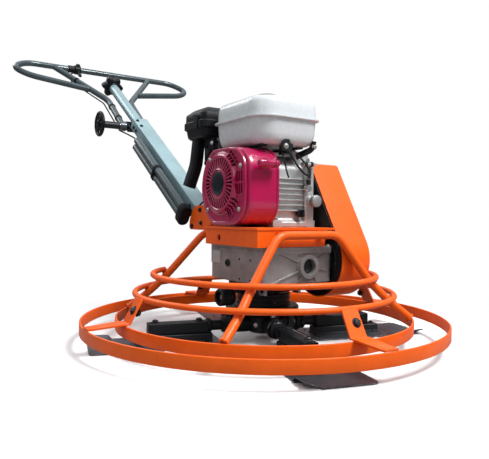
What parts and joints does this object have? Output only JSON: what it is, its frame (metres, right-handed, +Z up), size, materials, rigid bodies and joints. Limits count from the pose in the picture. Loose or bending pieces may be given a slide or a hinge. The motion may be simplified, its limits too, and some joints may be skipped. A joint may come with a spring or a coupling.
{
  "type": "power trowel",
  "caption": "Walk-behind power trowel: round guard rings over a four-blade rotor, worm gearbox, belt-driven petrol engine with white tank, and a tilting tiller with pitch knob.",
  "frame": {"origin": "at floor level under the middle of the overall box; the rotor axis stands 374 mm in front of it, along -Y", "axes": "+Z up; +X along the crankshaft towards the belt guard; +Y back along the handle towards the operator"},
  "size_m": [0.9218, 1.6696, 0.9488],
  "materials": {
    "orange_paint": "semi-gloss powder coat",
    "cast_aluminium": "as-cast, slightly matte",
    "steel": "machined or ground",
    "dark_steel": "black oxide",
    "black_paint": "semi-gloss enamel",
    "black_plastic": "fine moulded texture",
    "rubber": "matte",
    "magenta_paint": "gloss enamel",
    "white_paint": "gloss enamel",
    "blue_grey_paint": "semi-gloss enamel",
    "slate_paint": "semi-gloss enamel",
    "bronze": "machined bronze"
  },
  "bodies": {
    "machine": {"outer_guard_ring": "orange_paint", "inner_guard_ring": "orange_paint", "lower_rod_ring": "orange_paint", "upper_rod_ring": "orange_paint", "front_hoop": "orange_paint", "rear_hoop": "orange_paint", "ring_bracket_front": "orange_paint", "ring_bracket_right": "orange_paint", "ring_bracket_rear": "orange_paint", "ring_bracket_left": "orange_paint", "engine_deck": "orange_paint", "handle_bracket": "orange_paint", "gearbox_housing": "cast_aluminium", "gearbox_cover": "cast_aluminium", "output_bearing": "steel", "belt_guard": "orange_paint", "guard_back_plate": "black_paint", "drive_belt": "rubber", "crankcase": "cast_aluminium", "cylinder_head": "cast_aluminium", "fan_housing": "magenta_paint", "recoil_cover": "magenta_paint", "fuel_tank": "white_paint", "carburettor": "cast_aluminium", "air_cleaner": "black_plastic", "muffler": "dark_steel", "handle_tube": "blue_grey_paint", "pivot_axle": "dark_steel"},
    "rotor": {"output_shaft": "steel", "worm_wheel": "bronze", "spider_hub": "black_paint"},
    "worm": {"worm_shaft": "steel", "driven_pulley": "cast_aluminium"},
    "clutch_driven": {"clutch_pulley": "dark_steel"},
    "crank": {"crankshaft": "steel", "flywheel_fan": "cast_aluminium"},
    "collar": {"thrust_collar": "black_paint"},
    "yoke": {"pitch_yoke": "dark_steel"},
    "arm_1": {"trowel_arm_1": "black_paint", "trowel_blade_1": "steel"},
    "arm_2": {"trowel_arm_2": "black_paint", "trowel_blade_2": "steel"},
    "arm_3": {"trowel_arm_3": "black_paint", "trowel_blade_3": "steel"},
    "arm_4": {"trowel_arm_4": "black_paint", "trowel_blade_4": "steel"},
    "knob": {"pitch_knob": "black_plastic", "pitch_screw": "steel"},
    "tiller": {"handlebar": "slate_paint"},
    "throttle": {"throttle_lever": "black_plastic"},
    "governor": {"governor_arm": "steel"},
    "hand_wheel": {"clamp_wheel": "black_plastic"},
    "pole": {"lift_pole": "slate_paint"},
    "recoil_grip": {"starter_grip": "magenta_paint"},
    "reel": {"starter_reel": "black_plastic"},
    "tank_cap": {"fuel_cap": "dark_steel"},
    "dipstick": {"oil_cap": "black_plastic"},
    "choke": {"choke_lever": "steel"},
    "fuel_valve": {"fuel_valve_lever": "steel"},
    "switch": {"engine_switch": "black_plastic"}
  },
  "joints": [
    {"name": "rotor_spin", "type": "hinge", "parent": "machine", "child": "rotor", "pos_m": [0, -0.374, 0.04], "axis": [0, 0, 1], "continuous": true},
    {"name": "worm_spin", "type": "hinge", "parent": "machine", "child": "worm", "pos_m": [0, -0.458, 0.205], "axis": [1, 0, 0], "continuous": true},
    {"name": "clutch_pulley_spin", "type": "hinge", "parent": "machine", "child": "clutch_driven", "pos_m": [0, -0.374, 0.3955], "axis": [1, 0, 0], "continuous": true},
    {"name": "crank_spin", "type": "hinge", "parent": "machine", "child": "crank", "pos_m": [0, -0.374, 0.3955], "axis": [1, 0, 0], "continuous": true},
    {"name": "pitch_knob_turn", "type": "hinge", "parent": "machine", "child": "knob", "pos_m": [-0.03, -0.117, 0.31], "axis": [0, 0.832, 0.5548], "range_deg": [0, 720]},
    {"name": "collar_slide", "type": "slide", "parent": "rotor", "child": "collar", "axis": [0, 0, -1], "range_m": [0, 0.0067]},
    {"name": "yoke_tilt", "type": "hinge", "parent": "machine", "child": "yoke", "pos_m": [0, -0.446, 0.135], "axis": [-1, 0, 0], "range_deg": [0, 5.5]},
    {"name": "arm_1_tilt", "type": "hinge", "parent": "rotor", "child": "arm_1", "pos_m": [0, -0.374, 0.04], "axis": [0.2588, 0.9659, 0], "range_deg": [0, 12.2]},
    {"name": "arm_2_tilt", "type": "hinge", "parent": "rotor", "child": "arm_2", "pos_m": [0, -0.374, 0.04], "axis": [-0.9659, 0.2588, 0], "range_deg": [0, 12.2]},
    {"name": "arm_3_tilt", "type": "hinge", "parent": "rotor", "child": "arm_3", "pos_m": [0, -0.374, 0.04], "axis": [-0.2588, -0.9659, 0], "range_deg": [0, 12.2]},
    {"name": "arm_4_tilt", "type": "hinge", "parent": "rotor", "child": "arm_4", "pos_m": [0, -0.374, 0.04], "axis": [0.9659, -0.2588, 0], "range_deg": [0, 12.2]},
    {"name": "tiller_tilt", "type": "hinge", "parent": "machine", "child": "tiller", "pos_m": [-0.03, 0.4479, 0.65068], "axis": [1, 0, 0], "range_deg": [-12, 30]},
    {"name": "throttle_turn", "type": "hinge", "parent": "tiller", "child": "throttle", "pos_m": [-0.142, 0.8159, 0.93001], "axis": [1, 0, 0], "range_deg": [0, 40]},
    {"name": "governor_swing", "type": "hinge", "parent": "machine", "child": "governor", "pos_m": [0.062, -0.4715, 0.386], "axis": [0, 1, 0], "range_deg": [0, 12]},
    {"name": "hand_wheel_turn", "type": "hinge", "parent": "machine", "child": "hand_wheel", "pos_m": [-0.165, 0.4479, 0.65068], "axis": [1, 0, 0], "range_deg": [0, 360]},
    {"name": "pole_slide", "type": "slide", "parent": "machine", "child": "pole", "axis": [0, 0.832, 0.5548], "range_m": [0, 0.12]},
    {"name": "recoil_pull", "type": "slide", "parent": "machine", "child": "recoil_grip", "axis": [0, -1, 0], "range_m": [0, 0.45]},
    {"name": "reel_turn", "type": "hinge", "parent": "machine", "child": "reel", "pos_m": [0, -0.374, 0.3955], "axis": [1, 0, 0], "range_deg": [0, 575]},
    {"name": "tank_cap_turn", "type": "hinge", "parent": "machine", "child": "tank_cap", "pos_m": [-0.004, -0.386, 0.612], "axis": [0, 0, 1], "range_deg": [0, 90]},
    {"name": "dipstick_turn", "type": "hinge", "parent": "machine", "child": "dipstick", "pos_m": [0.078, -0.484, 0.355], "axis": [0, 1, 0], "range_deg": [0, 360]},
    {"name": "choke_turn", "type": "hinge", "parent": "machine", "child": "choke", "pos_m": [-0.083, -0.224, 0.508], "axis": [0, -1, 0], "range_deg": [0, 40]},
    {"name": "fuel_valve_turn", "type": "hinge", "parent": "machine", "child": "fuel_valve", "pos_m": [-0.055, -0.2234, 0.462], "axis": [0, 1, 0], "range_deg": [0, 40]},
    {"name": "switch_turn", "type": "hinge", "parent": "machine", "child": "switch", "pos_m": [0.044, -0.474, 0.324], "axis": [0, 1, 0], "range_deg": [0, 45]}
  ],
  "couplings": [
    {"joint": "worm_spin", "follows": "rotor_spin", "ratio": 20},
    {"joint": "clutch_pulley_spin", "follows": "rotor_spin", "ratio": 36.444},
    {"joint": "pitch_knob_turn", "follows": "collar_slide", "rad_per_m": 1875},
    {"joint": "yoke_tilt", "follows": "collar_slide", "rad_per_m": 13.93},
    {"joint": "arm_1_tilt", "follows": "collar_slide", "rad_per_m": 31.25},
    {"joint": "arm_2_tilt", "follows": "collar_slide", "rad_per_m": 31.25},
    {"joint": "arm_3_tilt", "follows": "collar_slide", "rad_per_m": 31.25},
    {"joint": "arm_4_tilt", "follows": "collar_slide", "rad_per_m": 31.25},
    {"joint": "governor_swing", "follows": "throttle_turn", "ratio": 0.25},
    {"joint": "reel_turn", "follows": "recoil_pull", "rad_per_m": 22.2}
  ]
}
